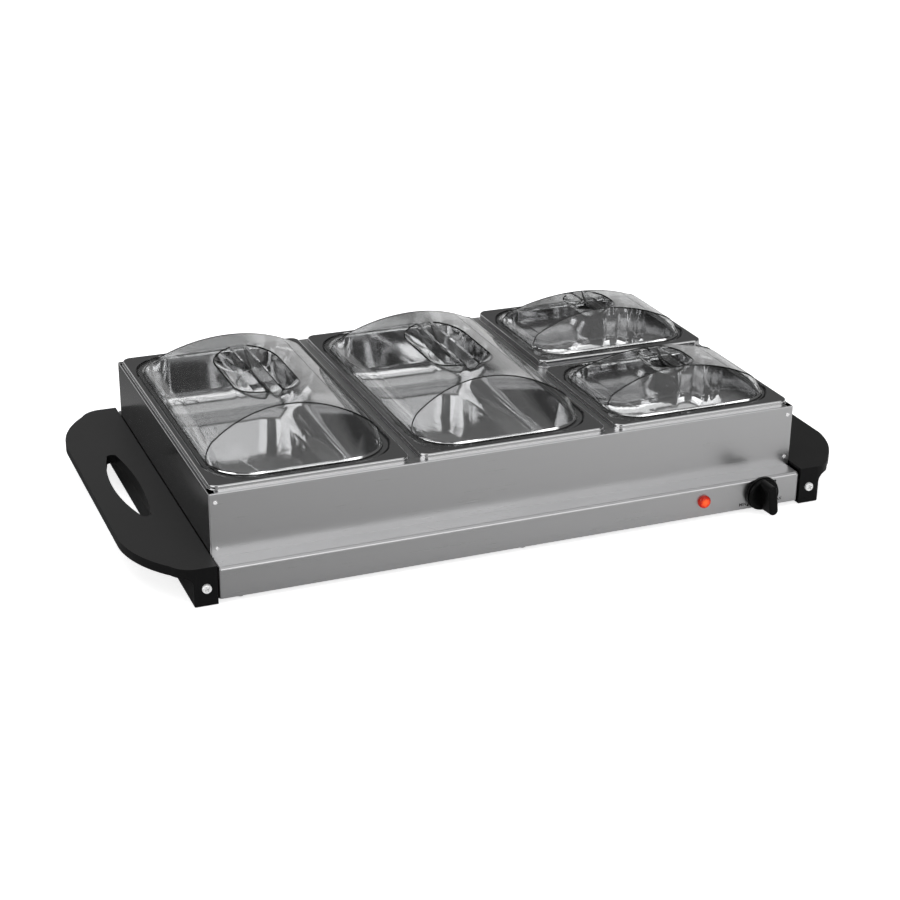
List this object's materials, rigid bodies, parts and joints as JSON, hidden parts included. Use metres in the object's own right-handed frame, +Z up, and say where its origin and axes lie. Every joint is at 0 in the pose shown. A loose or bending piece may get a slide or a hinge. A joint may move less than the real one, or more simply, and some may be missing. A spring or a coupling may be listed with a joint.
{
  "type": "electric food warmer tray",
  "caption": "Countertop buffet food warmer: heated stainless base with moulded end handles, lift-off frame, large and small lift-out pans with clear lift-off domed lids, and a thermostat knob.",
  "frame": {"origin": "on the table, under the middle of the base, at the centre of the middle foot's underside", "axes": "+X to the right along the long side, +Y to the back, +Z up; the knob and the lamp are on the front (-Y)"},
  "size_m": [0.655, 0.3786, 0.1264],
  "materials": {
    "stainless": "brushed stainless sheet",
    "pan_steel": "polished stainless stamping",
    "galvanised": "galvanised steel sheet",
    "plated_steel": "zinc plated steel",
    "aluminium_plate": "plain aluminium sheet",
    "element_sheath": "heat darkened sheath",
    "black_plastic": "satin black moulding with a fine grain",
    "black_rubber": "matt black rubber",
    "thermostat_case": "brown phenolic moulding",
    "white_plastic": "white nylon moulding",
    "lead_sleeve": "white glass-fibre sleeve",
    "amber_lens": "translucent orange-red lens",
    "clear_glass": "clear glass bulb",
    "clear_plastic": "clear glossy plastic"
  },
  "bodies": {
    "base": {"base_tray": "stainless", "bottom_cover": "galvanised", "cover_screws": "plated_steel", "left_handle": "black_plastic", "right_handle": "black_plastic", "rubber_feet": "black_rubber", "middle_foot": "black_rubber", "left_end_bracket": "galvanised", "right_end_bracket": "galvanised", "handle_screws": "plated_steel", "heat_spreader": "aluminium_plate", "front_heating_element": "element_sheath", "rear_heating_element": "element_sheath", "element_terminals": "plated_steel", "element_straps": "galvanised", "strap_studs": "plated_steel", "heat_shield": "aluminium_plate", "thermostat_body": "thermostat_case", "thermostat_nut": "plated_steel", "indicator_lens": "amber_lens", "indicator_push_nut": "plated_steel", "neon_lamp": "clear_glass", "cord_bushing": "black_plastic", "terminal_block": "white_plastic", "lead_wires": "lead_sleeve"},
    "frame": {"frame_front_panel": "stainless", "frame_rear_panel": "stainless", "frame_left_panel": "stainless", "frame_right_panel": "stainless", "frame_rivets": "plated_steel", "left_crossbar": "stainless", "right_crossbar": "stainless", "short_crossbar": "stainless"},
    "knob": {"control_knob": "black_plastic", "thermostat_shaft": "plated_steel"},
    "left_pan": {"left_pan": "pan_steel"},
    "left_lid": {"left_lid": "clear_plastic"},
    "middle_pan": {"middle_pan": "pan_steel"},
    "middle_lid": {"middle_lid": "clear_plastic"},
    "rear_small_pan": {"rear_small_pan": "pan_steel"},
    "rear_small_lid": {"rear_small_lid": "clear_plastic"},
    "front_small_pan": {"front_small_pan": "pan_steel"},
    "front_small_lid": {"front_small_lid": "clear_plastic"}
  },
  "joints": [
    {"name": "frame_lift", "type": "slide", "parent": "base", "child": "frame", "axis": [0, 0, 1], "range_m": [0, 0.08]},
    {"name": "knob_turn", "type": "hinge", "parent": "base", "child": "knob", "pos_m": [0.226, -0.182, 0.0184], "axis": [0, -1, 0], "range_deg": [-123, 106]},
    {"name": "left_pan_lift", "type": "slide", "parent": "frame", "child": "left_pan", "axis": [0, 0, 1], "range_m": [0, 0.09]},
    {"name": "left_lid_lift", "type": "slide", "parent": "left_pan", "child": "left_lid", "axis": [0, 0, 1], "range_m": [0, 0.06]},
    {"name": "middle_pan_lift", "type": "slide", "parent": "frame", "child": "middle_pan", "axis": [0, 0, 1], "range_m": [0, 0.09]},
    {"name": "middle_lid_lift", "type": "slide", "parent": "middle_pan", "child": "middle_lid", "axis": [0, 0, 1], "range_m": [0, 0.06]},
    {"name": "rear_small_pan_lift", "type": "slide", "parent": "frame", "child": "rear_small_pan", "axis": [0, 0, 1], "range_m": [0, 0.09]},
    {"name": "rear_small_lid_lift", "type": "slide", "parent": "rear_small_pan", "child": "rear_small_lid", "axis": [0, 0, 1], "range_m": [0, 0.06]},
    {"name": "front_small_pan_lift", "type": "slide", "parent": "frame", "child": "front_small_pan", "axis": [0, 0, 1], "range_m": [0, 0.09]},
    {"name": "front_small_lid_lift", "type": "slide", "parent": "front_small_pan", "child": "front_small_lid", "axis": [0, 0, 1], "range_m": [0, 0.06]}
  ]
}
